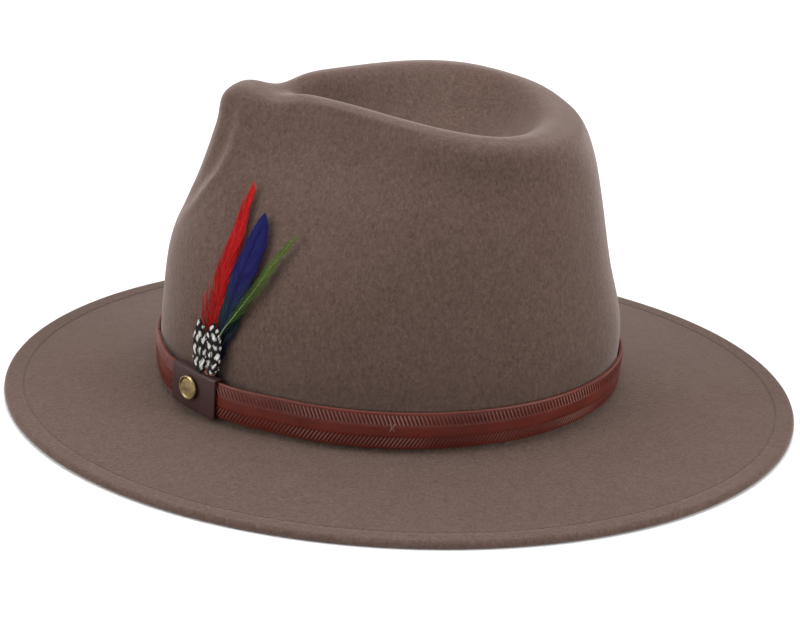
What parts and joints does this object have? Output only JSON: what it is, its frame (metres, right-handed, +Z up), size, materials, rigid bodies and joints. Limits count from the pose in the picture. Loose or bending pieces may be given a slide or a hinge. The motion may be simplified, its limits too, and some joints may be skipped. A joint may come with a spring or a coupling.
{
  "type": "fedora hat",
  "caption": "Felt fedora with a teardrop crown, stitched welt brim, leather hatband with keeper and badge, and a lift-out feather mount.",
  "frame": {"origin": "middle of the hat's bounding box, in the plane that the brim's edge rests on", "axes": "+Z up through the crown, -Y to the wearer's front, +X to the wearer's left"},
  "size_m": [0.315, 0.358, 0.1437],
  "materials": {
    "wool_felt": "matte taupe wool felt with a fine nap",
    "felt_thread": "dark brown sewing thread",
    "tape_cloth": "dark woven binding tape",
    "reed_plastic": "pale plastic reed",
    "sweatband_leather": "smooth brown leather with a soft sheen",
    "ribbon": "dark brown grosgrain ribbon",
    "lining_satin": "bronze-brown satin",
    "band_thread": "dark brown waxed thread",
    "band_leather": "red-brown leather, glossy, embossed with diagonal hatching",
    "keeper_leather": "smooth dark plum-brown leather",
    "antique_brass": "antique brass, darkened in the recesses",
    "feather_backing": "dark stiffened felt",
    "feather_dark_green": "blue-black to dark green feather",
    "feather_red": "bright red dyed feather",
    "feather_blue": "deep blue dyed feather",
    "feather_green": "olive green dyed feather with a pale quill",
    "feather_guinea": "black feather with white spots"
  },
  "bodies": {
    "hat": {"felt_body": "wool_felt", "brim_stitching": "felt_thread", "reed_tape": "tape_cloth", "reed": "reed_plastic", "sweatband": "sweatband_leather", "sweatband_bow": "ribbon", "lining_side": "lining_satin", "lining_tip": "lining_satin", "band_tack_left": "band_thread", "band_tack_back": "band_thread", "band_tack_right": "band_thread", "band_tack_front": "band_thread", "hatband": "band_leather", "keeper": "keeper_leather", "badge_rivet": "antique_brass", "badge": "antique_brass"},
    "feather_mount": {"feather_tab": "feather_backing", "feather_binding": "band_thread", "feather_dark_green": "feather_dark_green", "feather_red": "feather_red", "feather_blue": "feather_blue", "feather_green": "feather_green", "feather_guinea_rear": "feather_guinea", "feather_guinea_front": "feather_guinea"}
  },
  "joints": [
    {"name": "feather_lift", "type": "slide", "parent": "hat", "child": "feather_mount", "axis": [0, 0, 1], "range_m": [0, 0.04]}
  ]
}
